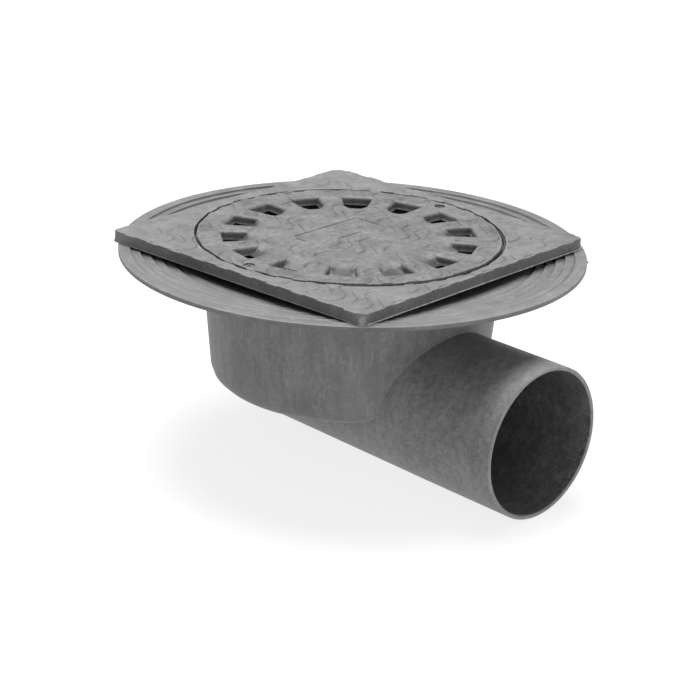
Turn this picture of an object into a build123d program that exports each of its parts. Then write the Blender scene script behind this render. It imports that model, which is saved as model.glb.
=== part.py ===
from build123d import *
import math
import os

os.makedirs("parts", exist_ok=True)

# Gully trap for a shower or yard floor, in millimetres.
# The pieces are modelled round the bucket's axis, with z = 0 at the outlet's lowest line and the outlet along +X.
# At the end they move along X, so that the origin lies under the middle of the whole length.

# Flange: a shallow dish with a flat rim and ring-shaped terraces
flange_diameter = 340.0
flange_underside_height = 145.0
rim_thickness = 3.0
rim_land_width = 8.5
terrace_count = 5
terrace_riser = 0.6
terrace_riser_width = 0.7
terrace_fall = 0.35
cone_width = 16.5
cone_drop = 3.25

# Bucket: the round water chamber under the flange
bucket_mouth_diameter = 220.0
bucket_wall = 3.0
bucket_draft = 5.1
bucket_floor_height = 47.0
bucket_corner_radius = 13.0

# Outlet: a pipe that starts under the bucket's floor and runs out below the flange
outlet_diameter = 110.0
outlet_wall = 3.0
outlet_reach = 190.0
outlet_spigot_length = 82.8
outlet_draft = 0.3
outlet_lip_bevel = 0.8
heel_beyond_upstand = 5.0
heel_bevel = 3.0

# Upstand: the overflow tube in the middle of the bucket
upstand_diameter = 90.0
upstand_wall = 3.0
upstand_below_rim = 42.0

# Siphon bell: an inverted cup that stands on the upstand with its skirt under water
bell_wall = 2.5
bell_water_gap = 14.0
bell_floor_gap = 8.0
bell_crown_gap = 12.0
bell_shoulder_bevel = 7.0
bell_rib_count = 4
bell_rib_width = 2.4
bell_rib_reach = 7.0
bell_rib_step = 8.0
bell_centring_play = 0.6
bell_grip_width = 26.0
bell_grip_thickness = 3.0
bell_grip_headroom = 13.0
bell_grip_radius = 4.0

# Cover frame: a square plate whose corners lie on the flange's rim
frame_turn = 3.7
frame_shift = 3.9
frame_corner_radius = 6.0
frame_corner_reach = 0.3
frame_thickness = 7.9
frame_skin = 3.4
frame_edge_wall = 3.2
frame_side_draft = 2.0
frame_rib_width = 2.4
frame_rib_spread = 17.0
spigot_wall = 3.0
spigot_length = 14.0
spigot_play = 1.0
ledge_width = 11.0
ledge_thickness = 3.0

# Grate: the round slotted lid that lies on the frame's ledge
grate_gap = 1.3
grate_rim_thickness = 6.0
grate_skin = 4.0
grate_depth = 10.0
slot_count = 14
slot_length = 32.0
slot_outer_width = 25.0
slot_inner_width = 16.0
slot_corner_radius = 3.0
slot_depth = 6.0
slot_ramp_run = 18.0
slot_ramp_lip = 1.0
slot_edge_bevel = 1.2
slot_collar = 2.4
collar_play = 1.1
grate_land = 1.4
lift_hole_diameter = 8.0
lift_hole_inset = 8.0
grate_rib_width = 2.4
grate_hub_radius = 12.0
name_box_length = 74.0
name_box_width = 26.0
name_box_centre = (-14.0, -3.0)
name_box_line = 1.6
name_box_height = 0.6

# Chords in a rounded corner of a turned outline
arc_steps = 3

# Heights and radii that follow from the sizes above
flange_radius = flange_diameter / 2
rim_top = flange_underside_height + rim_thickness
land_radius = flange_radius - rim_land_width
mouth_outer_radius = bucket_mouth_diameter / 2
dish_radius = mouth_outer_radius + cone_width
terrace_pitch = (land_radius - dish_radius) / terrace_count
dish_height = rim_top - terrace_count * (terrace_riser + terrace_fall)
mouth_height = dish_height - cone_drop
floor_top = bucket_floor_height + bucket_wall
draft_slope = math.tan(math.radians(bucket_draft))
outlet_radius = outlet_diameter / 2
outlet_bore = outlet_radius - outlet_wall
upstand_radius = upstand_diameter / 2
upstand_bore = upstand_radius - upstand_wall
upstand_top = rim_top - upstand_below_rim
heel_x = -(upstand_radius + heel_beyond_upstand)


def wall_outside(z):
    return mouth_outer_radius - draft_slope * (mouth_height - z)


def wall_inside(z):
    return wall_outside(z) - bucket_wall


spigot_foot = rim_top - spigot_length
spigot_radius = wall_inside(spigot_foot) - frame_shift - spigot_play
spigot_bore = spigot_radius - spigot_wall
opening_radius = spigot_radius + ledge_width
frame_top = rim_top + frame_thickness
seat_height = frame_top - grate_rim_thickness
frame_half = (flange_radius + frame_corner_reach + (math.sqrt(2) - 1) * frame_corner_radius) / math.sqrt(2)
grate_radius = opening_radius - grate_gap
grate_underside = frame_top - grate_depth
slot_outer_radius = math.sqrt((spigot_bore - collar_play) ** 2 - (slot_outer_width / 2 + slot_collar) ** 2) - slot_collar
slot_inner_radius = slot_outer_radius - slot_length
slot_floor = frame_top - slot_depth
bell_skirt_bottom = floor_top + bell_floor_gap
bell_crown_inside = upstand_top + bell_crown_gap
bell_crown_top = bell_crown_inside + bell_wall
bell_bore = upstand_radius + bell_water_gap
cover_place = Location((-frame_shift, 0, 0), (0, 0, frame_turn))


def turned(points):
    # The solid that an outline of (radius, height) points makes when it turns once round the Z axis
    return revolve(Plane.XZ * make_face(Polyline(*points, close=True)), Axis.Z)


def rounded(before, corner, after, radius):
    # Points on the arc that rounds one corner of an outline, in arc_steps chords
    corner = Vector(*corner)
    back = (Vector(*before) - corner).normalized()
    onward = (Vector(*after) - corner).normalized()
    half = math.radians(back.get_angle(onward)) / 2
    centre = corner + (back + onward).normalized() * radius / math.sin(half)
    first = corner + back * radius / math.tan(half) - centre
    last = corner + onward * radius / math.tan(half) - centre
    points = []
    for step in range(arc_steps + 1):
        share = step / arc_steps
        spoke = (first * math.sin((1 - share) * (math.pi / 2 - half) * 2)
                 + last * math.sin(share * (math.pi / 2 - half) * 2))
        point = centre + spoke.normalized() * radius
        points.append((point.X, point.Y))
    return points


def circles_at(shape, axis, place):
    # The round edges that lie in the plane across an axis at the given place
    return shape.edges().filter_by(GeomType.CIRCLE).filter_by_position(axis, place - 0.01, place + 0.01)


def cylinder_between(radius, low, high):
    return Pos(0, 0, low) * Cylinder(radius, high - low, align=(Align.CENTER, Align.CENTER, Align.MIN))


def outlet_core(radius, start):
    # A full-size spigot along +X, behind it a channel that narrows by the mould's draft down to the heel
    spigot_start = outlet_reach - outlet_spigot_length
    heel_radius = radius - math.tan(math.radians(outlet_draft)) * (spigot_start - start)
    upright = (Align.CENTER, Align.CENTER, Align.MIN)
    channel = Cone(heel_radius, radius, spigot_start - start, align=upright)
    spigot = Pos(0, 0, spigot_start - start) * Cylinder(radius, outlet_spigot_length, align=upright)
    return Plane((start, 0, outlet_radius), x_dir=(0, 1, 0), z_dir=(1, 0, 0)) * (channel + spigot)


def bar(length, width, low, high, start=0.0):
    # A straight bar along +X that starts at the given distance from the axis
    return Pos(start, 0, low) * Box(length, width, high - low, align=(Align.MIN, Align.CENTER, Align.MIN))


def terraces():
    # The dish's upper outline, from the rim's flat land down to the last ring
    points = []
    for ring in range(terrace_count):
        edge = land_radius - ring * terrace_pitch
        height = rim_top - ring * (terrace_riser + terrace_fall)
        points.append((edge, height))
        points.append((edge - terrace_riser_width, height - terrace_riser))
    points.append((dish_radius, dish_height))
    return points


def bucket_outside(top):
    # The outline of the bucket's outside, from the axis up to the given height
    floor = (0, bucket_floor_height)
    corner = (wall_outside(bucket_floor_height), bucket_floor_height)
    end = (wall_outside(top), top)
    return [floor, *rounded(floor, corner, end, bucket_corner_radius), end]


def bucket_inside():
    # The outline of the water chamber, from the mouth down to the axis
    mouth = (wall_inside(mouth_height), mouth_height)
    corner = (wall_inside(floor_top), floor_top)
    floor = (0, floor_top)
    return [mouth, *rounded(mouth, corner, floor, bucket_corner_radius - bucket_wall), floor]


def bucket_with_flange():
    rim = [
        (land_radius, flange_underside_height),
        (flange_radius, flange_underside_height),
        (flange_radius, rim_top),
    ]
    return turned(bucket_outside(mouth_height - rim_thickness) + rim + terraces() + bucket_inside())


def trap_body():
    pipe = outlet_core(outlet_radius, heel_x)
    pipe = chamfer(circles_at(pipe, Axis.X, heel_x), heel_bevel)
    water = outlet_core(outlet_bore, heel_x + outlet_wall)
    upstand = cylinder_between(upstand_radius, bucket_floor_height, upstand_top)
    chamber = turned(bucket_inside() + [(0, mouth_height)])
    bucket = turned(bucket_outside(mouth_height) + [(0, mouth_height)])
    body = bucket_with_flange() + (pipe - chamber) + upstand
    body -= water - bucket
    body -= cylinder_between(upstand_bore, bucket_floor_height - bucket_wall, upstand_top)
    return chamfer(circles_at(body, Axis.X, outlet_reach), outlet_lip_bevel)


def frame_ribs():
    # Stiffening ribs under the plate's corners, from the ledge to the edge wall
    ribs = []
    reach = frame_half * math.sqrt(2) - frame_corner_radius
    for corner in range(4):
        for spread in (-frame_rib_spread, 0, frame_rib_spread):
            angle = 45 + 90 * corner + spread
            run = reach if spread == 0 else (frame_half - frame_edge_wall / 2) / math.cos(math.radians(45 - abs(spread)))
            rib = bar(run - opening_radius, frame_rib_width, rim_top, frame_top - frame_skin / 2, opening_radius)
            ribs.append(Rot(0, 0, angle) * rib)
    return ribs


def cover_frame():
    side = 2 * frame_half
    plate = extrude(Pos(0, 0, rim_top) * RectangleRounded(side, side, frame_corner_radius), frame_thickness,
                    taper=frame_side_draft)
    inner_side = side - 2 * frame_edge_wall
    inner_radius = frame_corner_radius - frame_edge_wall
    pocket = extrude(Pos(0, 0, rim_top) * RectangleRounded(inner_side, inner_side, inner_radius),
                     frame_thickness - frame_skin, taper=frame_side_draft)
    collar = cylinder_between(opening_radius + ledge_thickness, seat_height - ledge_thickness, frame_top)
    spigot = cylinder_between(spigot_radius, spigot_foot, seat_height)
    frame = plate - pocket + collar + spigot
    for rib in frame_ribs():
        frame += rib
    frame -= cylinder_between(opening_radius, seat_height, frame_top)
    frame -= cylinder_between(spigot_bore, spigot_foot, seat_height)
    return cover_place * frame


def slot_outline(grow, corner_radius):
    # One trapezoid slot on the +X side, or the outline of its collar
    low = slot_inner_radius - grow
    high = slot_outer_radius + grow
    near = slot_inner_width / 2 + grow
    far = slot_outer_width / 2 + grow
    corners = [(low, -near), (high, -far), (high, far), (low, near)]
    return make_face(FilletPolyline(*corners, radius=corner_radius, close=True))


def slot_ramp():
    # What stays under a slot's inner end: a ramp from the disc down to a lip round the through hole
    slope = (slot_depth - slot_ramp_lip) / slot_ramp_run
    inside = slot_inner_width / 2
    foot = slot_inner_radius + slot_ramp_run
    outline = Polyline(
        (slot_inner_radius - inside, slot_floor),
        (foot, slot_floor),
        (foot, slot_floor + slot_ramp_lip),
        (slot_inner_radius - inside, frame_top + inside * slope),
        close=True,
    )
    return extrude(Plane.XZ * make_face(outline), slot_outer_width, both=True)


def slot_well():
    # The cutter of one slot, flared at the top to bevel the slot's edge
    outline = slot_outline(0, slot_corner_radius)
    well = extrude(Pos(0, 0, slot_floor) * outline, slot_depth)
    well += extrude(Pos(0, 0, frame_top - slot_edge_bevel) * outline, slot_edge_bevel, taper=-45)
    return well - slot_ramp()


def name_box():
    # A bare rectangular border where a maker would put a name
    outer = Rectangle(name_box_width, name_box_length)
    inner = Rectangle(name_box_width - 2 * name_box_line, name_box_length - 2 * name_box_line)
    border = Pos(name_box_centre[0], name_box_centre[1], frame_top) * (outer - inner)
    return extrude(border, name_box_height)


def grate():
    slot_pitch = 360 / slot_count
    lid = cylinder_between(grate_radius, seat_height, frame_top)
    lid -= cylinder_between(spigot_bore + grate_land, seat_height, frame_top - grate_skin)
    inner_ring_radius = slot_inner_radius - slot_collar / 2
    lid += cylinder_between(inner_ring_radius, grate_underside, frame_top)
    lid -= cylinder_between(inner_ring_radius - grate_rib_width, grate_underside, frame_top - grate_skin)
    lid += cylinder_between(grate_hub_radius, grate_underside, frame_top)
    collar = extrude(Pos(0, 0, slot_floor) * slot_outline(slot_collar, 0), slot_depth - grate_skin / 2)
    well = slot_well()
    rib = bar(inner_ring_radius - grate_hub_radius, grate_rib_width, grate_underside,
              frame_top - grate_skin / 2, grate_hub_radius - 1)
    for index in range(slot_count):
        lid += Rot(0, 0, index * slot_pitch) * collar
    for index in range(0, slot_count, 2):
        lid += Rot(0, 0, (index + 0.5) * slot_pitch) * rib
    for index in range(slot_count):
        lid -= Rot(0, 0, index * slot_pitch) * well
    hole_radius = lift_hole_diameter / 2
    for side in (-1, 1):
        lid -= Pos(0, side * (grate_radius - lift_hole_inset), 0) * cylinder_between(hole_radius, seat_height, frame_top)
    lid += name_box()
    return cover_place * lid


def bell_rib():
    # A rib inside the bell: its foot stands on the upstand's rim, and a step outside it keeps the bell central
    inner = upstand_radius - bell_rib_reach
    step = upstand_radius + bell_centring_play
    outer = bell_bore + bell_wall / 2
    top = bell_crown_inside + bell_wall / 2
    outline = Polyline(
        (inner, upstand_top),
        (step, upstand_top),
        (step, upstand_top - bell_rib_step),
        (outer, upstand_top - bell_rib_step),
        (outer, bell_crown_inside - bell_shoulder_bevel),
        (outer - bell_shoulder_bevel, top),
        (inner, top),
        close=True,
    )
    return extrude(Plane.XZ * make_face(outline), bell_rib_width / 2, both=True)


def siphon_bell():
    shoulder = bell_shoulder_bevel
    bell = turned([
        (0, bell_crown_inside),
        (bell_bore - shoulder, bell_crown_inside),
        (bell_bore, bell_crown_inside - shoulder),
        (bell_bore, bell_skirt_bottom),
        (bell_bore + bell_wall, bell_skirt_bottom),
        (bell_bore + bell_wall, bell_crown_inside - shoulder),
        (bell_bore + bell_wall - shoulder, bell_crown_top),
        (0, bell_crown_top),
    ])
    for index in range(bell_rib_count):
        bell += Rot(0, 0, 45 + 360 / bell_rib_count * index) * bell_rib()
    grip_height = grate_underside - bell_grip_headroom - bell_crown_top
    grip = Rectangle(bell_grip_width, grip_height, align=(Align.CENTER, Align.MIN))
    grip = fillet(grip.vertices().group_by(Axis.Y)[-1], bell_grip_radius)
    return bell + extrude(Plane.XZ * Pos(0, bell_crown_top) * grip, bell_grip_thickness / 2, both=True)


parts = {
    "trap_body": trap_body(),
    "cover_frame": cover_frame(),
    "grate": grate(),
    "siphon_bell": siphon_bell(),
}
middle = (outlet_reach - flange_diameter / 2) / 2
for name, shape in parts.items():
    export_step(Pos(-middle, 0, 0) * shape, f"parts/{name}.step")
    print(name, round(shape.volume / 1000, 1), "cm3")
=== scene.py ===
import math
import bmesh
import bpy
import numpy as np
from mathutils import Matrix, Vector
from mathutils.geometry import delaunay_2d_cdt


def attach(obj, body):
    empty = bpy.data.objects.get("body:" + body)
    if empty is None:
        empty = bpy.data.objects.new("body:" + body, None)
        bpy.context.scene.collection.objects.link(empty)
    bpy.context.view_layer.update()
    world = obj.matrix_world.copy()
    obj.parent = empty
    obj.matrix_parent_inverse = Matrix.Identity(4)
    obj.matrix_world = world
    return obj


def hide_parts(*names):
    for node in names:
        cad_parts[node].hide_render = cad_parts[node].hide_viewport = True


# Plastic gully trap: dished flange with bucket and outlet, square cover plate, round slotted grate, siphon bell.
# Lengths in the dictionaries are millimetres and angles are degrees. Heights count from the outlet's lowest line,
# and places in plan from the bucket's axis, for the cover and the grate from their own middle.

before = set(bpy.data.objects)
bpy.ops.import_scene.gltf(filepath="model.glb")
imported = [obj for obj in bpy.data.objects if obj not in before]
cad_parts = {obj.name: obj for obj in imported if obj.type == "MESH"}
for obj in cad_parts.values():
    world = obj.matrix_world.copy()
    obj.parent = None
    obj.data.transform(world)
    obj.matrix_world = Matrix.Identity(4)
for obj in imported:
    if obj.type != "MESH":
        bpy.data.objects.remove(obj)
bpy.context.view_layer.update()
mm = 0.001
bucketAxis = (-10.0, 0.0, 0.0)   # where the bucket's axis stands in the part's frame
weldReach = 2e-6                 # metres
pointReach = 1e-4                # millimetres
sharpAngle = 35                  # faces that meet at more than this have a crisp edge between them
print("solids loaded:", ", ".join(sorted(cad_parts)))


def solidAsArrays(nodeName, cutHeight=None):
    # vertices in millimetres and faces of a CAD solid, cut off and left open at a height if one is given
    bm = bmesh.new()
    bm.from_mesh(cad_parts[nodeName].data)
    bmesh.ops.remove_doubles(bm, verts=bm.verts, dist=weldReach)
    if cutHeight is not None:
        bmesh.ops.bisect_plane(bm, geom=bm.verts[:] + bm.edges[:] + bm.faces[:], plane_co=(0, 0, cutHeight * mm),
                               plane_no=(0, 0, 1), clear_outer=True)
    bm.verts.index_update()
    verts = np.array([v.co for v in bm.verts]) / mm - bucketAxis
    faces = [[v.index for v in f.verts] for f in bm.faces]
    bm.free()
    return verts, faces


def joined(*parts):
    # several (vertices, faces, rim) parts as one
    verts, faces, rim, first = [], [], [], 0
    for partVerts, partFaces, partRim in parts:
        verts.append(np.asarray(partVerts, float))
        faces += [[i + first for i in f] for f in partFaces]
        rim.append(np.broadcast_to(partRim, (len(partVerts),)))
        first += len(partVerts)
    return np.vstack(verts), faces, np.concatenate(rim)


def newPiece(name, verts, faces, rim, materials, nodeName, materialOf=None):
    # rim says where the surface is painted pale (above 0), for rubbed wear and for painted highlights, and where it
    # carries painted shade (below 0)
    mesh = bpy.data.meshes.new(name)
    mesh.from_pydata(((np.asarray(verts) + bucketAxis) * mm).tolist(), [], faces)
    mesh.validate()
    mesh.attributes.new("rim", "FLOAT", "POINT").data.foreach_set("value", np.asarray(rim, np.float32))
    mesh.polygons.foreach_set("use_smooth", [True] * len(mesh.polygons))
    mesh.set_sharp_from_angle(angle=math.radians(sharpAngle))
    for material in materials:
        mesh.materials.append(material)
    if materialOf is not None:
        mesh.polygons.foreach_set("material_index", np.asarray(materialOf, np.int32))
    piece = bpy.data.objects.new(name, mesh)
    bpy.context.scene.collection.objects.link(piece)
    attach(piece, "root")
    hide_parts(nodeName)
    print(name, "has", sum(len(f) - 2 for f in faces), "triangles")


def roundAngles(count):
    return np.arange(count) / count * 2 * np.pi


def ring(radius, height, count, centre=(0, 0)):
    angles = roundAngles(count)
    return np.c_[centre[0] + radius * np.cos(angles), centre[1] + radius * np.sin(angles), np.full(count, height)]


def lathe(profile, count):
    # a surface that a line of (radius, height) points makes when it turns round the Z axis
    profile = np.asarray(profile, float)
    angles = roundAngles(count)
    radius, height = profile[:, :1], profile[:, 1:]
    verts = np.stack([radius * np.cos(angles), radius * np.sin(angles),
                      np.broadcast_to(height, (len(profile), count))], -1)
    faces = []
    for row in range(len(profile) - 1):
        for col in range(count):
            here, onward = row * count + col, row * count + (col + 1) % count
            faces.append([here, onward, onward + count, here + count])
    return verts.reshape(-1, 3), faces


def strip(upper, lower, facing):
    # a closed wall between two rings of the same number of points
    count = len(upper)
    faces = []
    for i in range(count):
        j = (i + 1) % count
        faces.append([i, j, count + j, count + i][::facing])
    return np.vstack([upper, lower]), faces


def atHeight(outline, height):
    return np.c_[outline, np.full(len(outline), height)]


def roundDrop(distance, radius):
    # how far a rounded edge lies under the top at a distance from the outline
    inside = np.clip(radius - distance, 0, radius)
    return radius - np.sqrt(np.maximum(radius * radius - inside * inside, 0))


def smoothStep(x, low, high):
    t = np.clip((x - low) / (high - low), 0, 1)
    return t * t * (3 - 2 * t)


def turnedBy(points, degrees, shift=(0, 0)):
    c, s = math.cos(math.radians(degrees)), math.sin(math.radians(degrees))
    out = np.array(points, float)
    out[:, 0] = points[:, 0] * c - points[:, 1] * s + shift[0]
    out[:, 1] = points[:, 0] * s + points[:, 1] * c + shift[1]
    return out


# small helpers for the shader trees
def newGroup(name, inputs, outputs):
    # an input's kind follows from its first value: a colour has four numbers and a vector three
    group = bpy.data.node_groups.new(name, "ShaderNodeTree")
    for label, value in inputs.items():
        kind = {4: "NodeSocketColor", 3: "NodeSocketVector"}.get(np.size(value), "NodeSocketFloat")
        group.interface.new_socket(label, in_out="INPUT", socket_type=kind).default_value = value
    for label, kind in outputs.items():
        group.interface.new_socket(label, in_out="OUTPUT", socket_type="NodeSocket" + kind)
    return group, group.nodes.new("NodeGroupInput").outputs, group.nodes.new("NodeGroupOutput").inputs


def addNode(tree, kind, settings=None, values=None):
    # each value is set on its socket, or linked to it if it is another node's output
    node = tree.nodes.new(kind)
    for key, value in (settings or {}).items():
        setattr(node, key, value)
    for key, value in (values or {}).items():
        if isinstance(value, bpy.types.NodeSocket):
            tree.links.new(value, node.inputs[key])
        else:
            node.inputs[key].default_value = value
    return node


def addMath(tree, operation, first, second=0.0, clamp=False):
    settings = {"operation": operation, "use_clamp": clamp}
    return addNode(tree, "ShaderNodeMath", settings, {0: first, 1: second}).outputs[0]


def addVectorMath(tree, operation, values):
    return addNode(tree, "ShaderNodeVectorMath", {"operation": operation}, values).outputs


def addRange(tree, value, low, high, newLow=0.0, newHigh=1.0):
    values = {"Value": value, "From Min": low, "From Max": high, "To Min": newLow, "To Max": newHigh}
    return addNode(tree, "ShaderNodeMapRange", {"interpolation_type": "SMOOTHSTEP"}, values).outputs["Result"]


def addNoise(tree, vector, scale, detail, roughness):
    values = {"Vector": vector, "Scale": scale, "Detail": detail, "Roughness": roughness}
    return addNode(tree, "ShaderNodeTexNoise", None, values).outputs["Fac"]


def addPatches(tree, vector, scale, detail, roughness, low, high, least=0.0):
    # an uneven mask that goes from its least value to 1
    return addRange(tree, addNoise(tree, vector, scale, detail, roughness), low, high, least, 1.0)


def addLines(tree, noise, width, core):
    # thin lines where a noise passes through its middle value
    away = addMath(tree, "ABSOLUTE", addMath(tree, "SUBTRACT", noise, 0.5))
    return addRange(tree, addMath(tree, "DIVIDE", away, width), core, 1.0, 1.0, 0.0)


def addMix(tree, share, base, other):
    return addNode(tree, "ShaderNodeMix", {"data_type": "RGBA"}, {0: share, 6: base, 7: other}).outputs[2]


def objectPlace(tree):
    return addNode(tree, "ShaderNodeTexCoord").outputs["Object"]


def grey(value):
    return (value, value, value, 1)


# the shared surface effects are node groups
def cloudedTone():
    # reground plastic: soft clouds, mottling and small specks in the grey
    group, given, result = newGroup("cloudedTone", {
        "Deep Grey": grey(0.10), "Pale Grey": grey(0.20), "Cloud Scale": 30.0, "Cloud Amount": 2.0,
        "Mottle Scale": 240.0, "Mottle Amount": 1.0, "Speck Scale": 800.0, "Speck Amount": 0.6,
    }, {"Color": "Color", "Clouds": "Float", "Grain": "Float"})
    place = objectPlace(group)
    layers = []
    for label, detail in (("Cloud", 5.0), ("Mottle", 3.0), ("Speck", 2.0)):
        noise = addNoise(group, place, given[label + " Scale"], detail, roughness=0.6)
        layers.append(addMath(group, "MULTIPLY", addMath(group, "SUBTRACT", noise, 0.5), given[label + " Amount"]))
    grain = addMath(group, "ADD", layers[1], layers[2])
    share = addMath(group, "ADD", addMath(group, "ADD", layers[0], grain), 0.5, clamp=True)
    group.links.new(addMix(group, share, given["Deep Grey"], given["Pale Grey"]), result["Color"])
    group.links.new(addMath(group, "ADD", layers[0], 0.5, clamp=True), result["Clouds"])
    group.links.new(grain, result["Grain"])
    return group


def mouldStreaks():
    # long flow marks and fine scratches; the stretch says along which axes they are short, and the ring share turns
    # them round the bucket's axis
    group, given, result = newGroup("mouldStreaks", {
        "Stretch": (1.0, 1.0, 0.1), "Ring Share": 0.0, "Streak Scale": 160.0,
        "Scratch Scale": 900.0, "Scratch Width": 0.02,
    }, {"Streaks": "Float", "Scratches": "Float"})
    place = objectPlace(group)
    toAxis = [-c * mm for c in bucketAxis]
    fromAxis = addVectorMath(group, "MULTIPLY_ADD", {0: place, 1: (1, 1, 0), 2: toAxis})[0]
    radius = addVectorMath(group, "LENGTH", {0: fromAxis})["Value"]
    along = addMath(group, "MULTIPLY", radius, given["Ring Share"])
    ringPart = addNode(group, "ShaderNodeCombineXYZ", None, {0: along}).outputs[0]
    stretched = addVectorMath(group, "MULTIPLY_ADD", {0: place, 1: given["Stretch"], 2: ringPart})[0]
    streaks = addNoise(group, stretched, given["Streak Scale"], detail=4.0, roughness=0.6)
    fine = addNoise(group, stretched, given["Scratch Scale"], detail=2.0, roughness=0.5)
    lines = addLines(group, fine, given["Scratch Width"], core=0.3)
    patches = addPatches(group, place, scale=45.0, detail=3.0, roughness=0.6, low=0.42, high=0.6)
    group.links.new(addRange(group, streaks, low=0.32, high=0.68), result["Streaks"])
    group.links.new(addMath(group, "MULTIPLY", lines, patches), result["Scratches"])
    return group


def flowWisps():
    # thin curling marks that the melt leaves where it flows together
    group, given, result = newGroup("flowWisps", {
        "Wisp Scale": 60.0, "Curl": 0.02, "Width": 0.03, "Patch Scale": 22.0,
    }, {"Wisps": "Float"})
    place = objectPlace(group)
    swirl = addNode(group, "ShaderNodeTexNoise", None, {"Vector": place, "Scale": 38.0, "Detail": 2.0}).outputs["Color"]
    centred = addVectorMath(group, "SUBTRACT", {0: swirl, 1: (0.5, 0.5, 0.5)})[0]
    push = addVectorMath(group, "SCALE", {0: centred, "Scale": given["Curl"]})[0]
    moved = addVectorMath(group, "ADD", {0: place, 1: push})[0]
    noise = addNoise(group, moved, given["Wisp Scale"], detail=4.0, roughness=0.65)
    lines = addLines(group, noise, given["Width"], core=0.2)
    patches = addPatches(group, place, given["Patch Scale"], detail=2.0, roughness=0.5, low=0.42, high=0.62)
    group.links.new(addMath(group, "MULTIPLY", lines, patches), result["Wisps"])
    return group


def wearAndPaintedLight():
    # pale rubbed edges and painted highlights where the mesh's rim value is above zero, and painted shade where it is
    # below: at the feet of small steps, in the wells and in the gap round the grate
    group, given, result = newGroup("wearAndPaintedLight", {
        "Break Scale": 260.0, "Amount": 0.8,
    }, {"Mask": "Float", "Shade": "Float"})
    place = objectPlace(group)
    rim = addNode(group, "ShaderNodeAttribute", {"attribute_name": "rim"}).outputs["Fac"]
    broken = addPatches(group, place, given["Break Scale"], detail=3.0, roughness=0.6, low=0.3, high=0.62, least=0.35)
    patchy = addPatches(group, place, scale=32.0, detail=3.0, roughness=0.6, low=0.36, high=0.6, least=0.15)
    wearAndHighlight = addMath(group, "MULTIPLY", addMath(group, "MULTIPLY", rim, broken), given["Amount"], clamp=True)
    shade = addMath(group, "MULTIPLY", addMath(group, "MULTIPLY", rim, -1.0), patchy, clamp=True)
    group.links.new(wearAndHighlight, result["Mask"])
    group.links.new(shade, result["Shade"])
    return group


def mouldedSkin():
    # the height of the plastic's skin: a fine grain over slow waves
    group, given, result = newGroup("mouldedSkin", {
        "Grain Scale": 1400.0, "Wave Scale": 60.0, "Grain Share": 0.4,
    }, {"Height": "Float"})
    place = objectPlace(group)
    grain = addNoise(group, place, given["Grain Scale"], detail=3.0, roughness=0.6)
    waves = addNoise(group, place, given["Wave Scale"], detail=2.0, roughness=0.5)
    total = addMath(group, "ADD", addMath(group, "MULTIPLY", grain, given["Grain Share"]), waves)
    group.links.new(total, result["Height"])
    return group


groups = {"tone": cloudedTone(), "streaks": mouldStreaks(), "wisps": flowWisps(), "edges": wearAndPaintedLight(),
          "skin": mouldedSkin()}
print("surface effects ready")


def greyPlastic(name, look):
    material = bpy.data.materials.new(name)
    material.use_nodes = True
    tree = material.node_tree
    shader = tree.nodes["Principled BSDF"]
    greys = {"Deep Grey": grey(look["deep"]), "Pale Grey": grey(look["pale"])}
    values = {**look, "tone": {**greys, **look["tone"]}}
    tone, streaks, wisps, edges, skin = (
        addNode(tree, "ShaderNodeGroup", {"node_tree": groups[key]}, values[key]).outputs
        for key in ("tone", "streaks", "wisps", "edges", "skin"))

    def blend(share, strength, base, other):
        return addMix(tree, addMath(tree, "MULTIPLY", share, strength, clamp=True), base, grey(other))

    colour = blend(streaks["Streaks"], look["streakDepth"], tone["Color"], look["deep"] * look["streakTone"])
    colour = blend(wisps["Wisps"], look["wispDepth"], colour, look["wispTone"])
    colour = blend(streaks["Scratches"], look["scratchDepth"], colour, look["scuffAndHighlight"])
    # rubbed wear and painted highlights go towards the scuff grey, and painted shade towards a dark share of the deep
    # grey
    colour = blend(edges["Mask"], 1.0, colour, look["scuffAndHighlight"])
    colour = blend(edges["Shade"], 1.0, colour, look["deep"] * look["shadeTone"])
    tree.links.new(colour, shader.inputs["Base Color"])
    rough = addRange(tree, tone["Clouds"], 0, 1, *look["roughness"])
    scratched = addMath(tree, "MULTIPLY", streaks["Scratches"], look["scratchRoughness"])
    tree.links.new(addMath(tree, "ADD", rough, scratched, clamp=True), shader.inputs["Roughness"])
    height = skin["Height"]
    for source, share in ((streaks["Streaks"], "streakHeight"), (wisps["Wisps"], "wispHeight"),
                          (tone["Grain"], "grainHeight")):
        height = addMath(tree, "ADD", height, addMath(tree, "MULTIPLY", source, look[share]))
    bump = addNode(tree, "ShaderNodeBump", None, {"Strength": look["bumpStrength"],
                                                  "Distance": look["bumpDistance"] * mm, "Height": height})
    tree.links.new(bump.outputs["Normal"], shader.inputs["Normal"])
    shader.inputs["Specular IOR Level"].default_value = look["specular"]
    return material


# greys go from 0 to 1 and scales are cycles per metre; streak and shade tones are shares of the deep grey
coverLook = {
    "deep": 0.085, "pale": 0.175, "scuffAndHighlight": 0.5,
    "tone": {"Cloud Scale": 38.0, "Cloud Amount": 1.4, "Mottle Scale": 260.0, "Mottle Amount": 0.7,
             "Speck Scale": 900.0, "Speck Amount": 0.6},
    "streaks": {"Stretch": (1.0, 0.25, 1.0), "Streak Scale": 120.0, "Scratch Scale": 420.0, "Scratch Width": 0.03},
    "streakDepth": 0.15, "streakTone": 0.6, "scratchDepth": 0.16,
    "wisps": {"Wisp Scale": 60.0, "Curl": 0.035, "Width": 0.014, "Patch Scale": 30.0},
    "wispDepth": 0.6, "wispTone": 0.03,
    "edges": {"Break Scale": 260.0, "Amount": 0.06}, "shadeTone": 0.3,
    "skin": {"Grain Scale": 1100.0, "Wave Scale": 90.0, "Grain Share": 0.5},
    "streakHeight": 0.3, "wispHeight": 0.3, "grainHeight": 0.3,
    "bumpStrength": 0.6, "bumpDistance": 0.6,
    "roughness": (0.45, 0.62), "scratchRoughness": 0.15, "specular": 0.35,
}
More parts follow.
